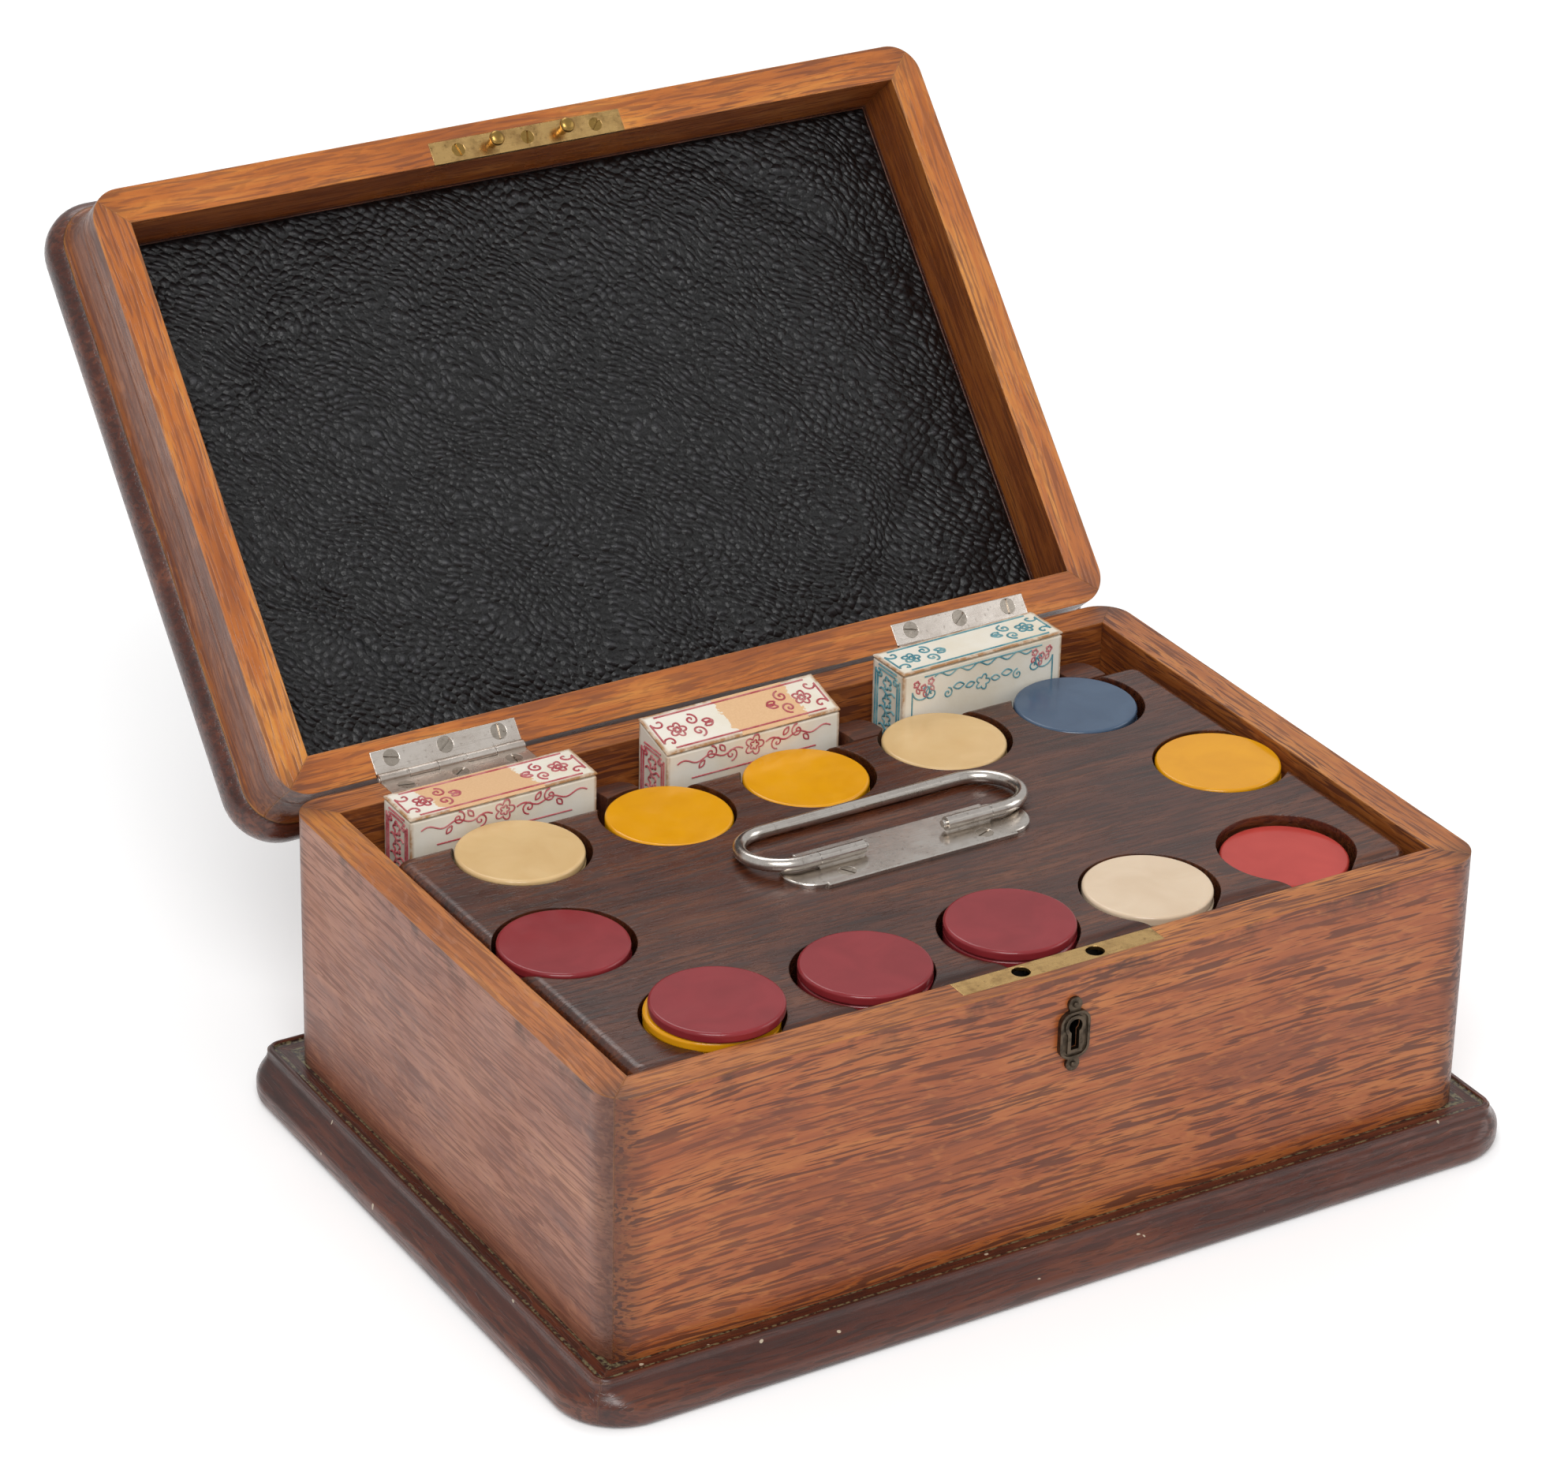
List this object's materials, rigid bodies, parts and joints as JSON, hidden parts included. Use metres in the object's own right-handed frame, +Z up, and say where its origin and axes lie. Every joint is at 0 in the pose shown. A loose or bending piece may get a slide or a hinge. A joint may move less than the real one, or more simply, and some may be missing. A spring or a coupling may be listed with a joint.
{
  "type": "poker case",
  "caption": "Open wooden game case with a plinth, padded lid, butt hinges and box lock; a bored lift-out carrier with a bail handle holds chip stacks and upright card packs.",
  "frame": {"origin": "centre of the plinth's flat underside", "axes": "+Z up, +Y to the hinged back, +X to the right seen from the front"},
  "size_m": [0.313, 0.3602, 0.2388],
  "materials": {
    "oak": "old shellac over stained quarter-sawn oak",
    "dark_moulding": "dark stained and polished mahogany",
    "base_wood": "plain stained softwood",
    "mahogany": "dark polished mahogany",
    "leather": "black pebbled leathercloth",
    "brass": "worn brushed brass",
    "aged_brass": "tarnished turned brass",
    "bronze": "dark patinated cast brass",
    "lock_iron": "plain stamped iron",
    "nickel": "worn nickel plate",
    "steel_screws": "turned steel",
    "chip_burgundy": "moulded and polished",
    "chip_red": "moulded and polished",
    "chip_yellow": "moulded and polished",
    "chip_ivory": "moulded and polished",
    "chip_pale_ivory": "moulded and polished",
    "chip_blue": "moulded and polished",
    "carton_red_print": "worn printed carton",
    "carton_blue_print": "worn printed carton",
    "card_stock": "coated card"
  },
  "bodies": {
    "case": {"base_board": "base_wood", "plinth_front": "dark_moulding", "plinth_back": "dark_moulding", "plinth_left": "dark_moulding", "plinth_right": "dark_moulding", "case_front": "oak", "case_back": "oak", "case_left": "oak", "case_right": "oak", "lock_case": "lock_iron", "lock_plate": "brass", "keyhole_escutcheon": "bronze", "escutcheon_pins": "bronze", "hinge_leaf_case_left": "nickel", "hinge_leaf_case_right": "nickel", "hinge_pin_left": "nickel", "hinge_pin_right": "nickel", "hinge_screws_case": "steel_screws"},
    "lock_bolt": {"lock_bolt": "lock_iron"},
    "lid": {"lid_front": "oak", "lid_back": "oak", "lid_left": "oak", "lid_right": "oak", "lid_top": "dark_moulding", "lid_lining": "leather", "link_plate": "brass", "link_studs": "aged_brass", "link_screws": "aged_brass", "hinge_leaf_lid_left": "nickel", "hinge_leaf_lid_right": "nickel", "hinge_screws_lid": "steel_screws"},
    "carrier": {"carrier_block": "mahogany", "carrier_base": "mahogany", "divider_1": "mahogany", "divider_2": "mahogany", "divider_3": "mahogany", "handle_plate": "nickel", "handle_screws": "steel_screws"},
    "bail": {"handle_bail": "nickel"},
    "chips_front_1": {"chips_front_1": "chip_yellow"},
    "chips_front_2": {"chips_front_2": "chip_burgundy"},
    "chips_front_3": {"chips_front_3": "chip_burgundy"},
    "chips_front_4": {"chips_front_4": "chip_pale_ivory"},
    "chips_front_5": {"chips_front_5": "chip_red"},
    "chips_side_1": {"chips_side_1": "chip_burgundy"},
    "chips_side_2": {"chips_side_2": "chip_yellow"},
    "chips_back_1": {"chips_back_1": "chip_ivory"},
    "chips_back_2": {"chips_back_2": "chip_yellow"},
    "chips_back_3": {"chips_back_3": "chip_yellow"},
    "chips_back_4": {"chips_back_4": "chip_ivory"},
    "chips_back_5": {"chips_back_5": "chip_blue"},
    "chip_on_front_1": {"chip_on_front_1": "chip_burgundy"},
    "card_pack_1": {"carton_1": "carton_red_print", "cards_1": "card_stock"},
    "card_pack_2": {"carton_2": "carton_red_print", "cards_2": "card_stock"},
    "card_pack_3": {"carton_3": "carton_blue_print", "cards_3": "card_stock"}
  },
  "joints": [
    {"name": "lid_hinge", "type": "hinge", "parent": "case", "child": "lid", "pos_m": [0, 0.0963, 0.09515], "axis": [-1, 0, 0], "range_deg": [-131.4, 0]},
    {"name": "bolt_slide", "type": "slide", "parent": "case", "child": "lock_bolt", "axis": [1, 0, 0], "range_m": [-0.0034, 0]},
    {"name": "carrier_lift", "type": "slide", "parent": "case", "child": "carrier", "axis": [0, 0, 1], "range_m": [0, 0.11]},
    {"name": "bail_hinge", "type": "hinge", "parent": "carrier", "child": "bail", "pos_m": [0.0022, -0.00757, 0.0966], "axis": [0.9999, 0.0131, 0], "range_deg": [0, 188.9]},
    {"name": "chips_front_1_lift", "type": "slide", "parent": "carrier", "child": "chips_front_1", "axis": [0, 0, 1], "range_m": [0, 0.095]},
    {"name": "chips_front_2_lift", "type": "slide", "parent": "carrier", "child": "chips_front_2", "axis": [0, 0, 1], "range_m": [0, 0.095]},
    {"name": "chips_front_3_lift", "type": "slide", "parent": "carrier", "child": "chips_front_3", "axis": [0, 0, 1], "range_m": [0, 0.095]},
    {"name": "chips_front_4_lift", "type": "slide", "parent": "carrier", "child": "chips_front_4", "axis": [0, 0, 1], "range_m": [0, 0.095]},
    {"name": "chips_front_5_lift", "type": "slide", "parent": "carrier", "child": "chips_front_5", "axis": [0, 0, 1], "range_m": [0, 0.095]},
    {"name": "chips_side_1_lift", "type": "slide", "parent": "carrier", "child": "chips_side_1", "axis": [0, 0, 1], "range_m": [0, 0.095]},
    {"name": "chips_side_2_lift", "type": "slide", "parent": "carrier", "child": "chips_side_2", "axis": [0, 0, 1], "range_m": [0, 0.095]},
    {"name": "chips_back_1_lift", "type": "slide", "parent": "carrier", "child": "chips_back_1", "axis": [0, 0, 1], "range_m": [0, 0.095]},
    {"name": "chips_back_2_lift", "type": "slide", "parent": "carrier", "child": "chips_back_2", "axis": [0, 0, 1], "range_m": [0, 0.095]},
    {"name": "chips_back_3_lift", "type": "slide", "parent": "carrier", "child": "chips_back_3", "axis": [0, 0, 1], "range_m": [0, 0.095]},
    {"name": "chips_back_4_lift", "type": "slide", "parent": "carrier", "child": "chips_back_4", "axis": [0, 0, 1], "range_m": [0, 0.095]},
    {"name": "chips_back_5_lift", "type": "slide", "parent": "carrier", "child": "chips_back_5", "axis": [0, 0, 1], "range_m": [0, 0.095]},
    {"name": "chip_on_front_1_lift", "type": "slide", "parent": "chips_front_1", "child": "chip_on_front_1", "axis": [0, 0, 1], "range_m": [0, 0.04]},
    {"name": "card_pack_1_lift", "type": "slide", "parent": "carrier", "child": "card_pack_1", "axis": [0, 0, 1], "range_m": [0, 0.1]},
    {"name": "card_pack_2_lift", "type": "slide", "parent": "carrier", "child": "card_pack_2", "axis": [0, 0, 1], "range_m": [0, 0.1]},
    {"name": "card_pack_3_lift", "type": "slide", "parent": "carrier", "child": "card_pack_3", "axis": [0, 0, 1], "range_m": [0, 0.1]}
  ]
}
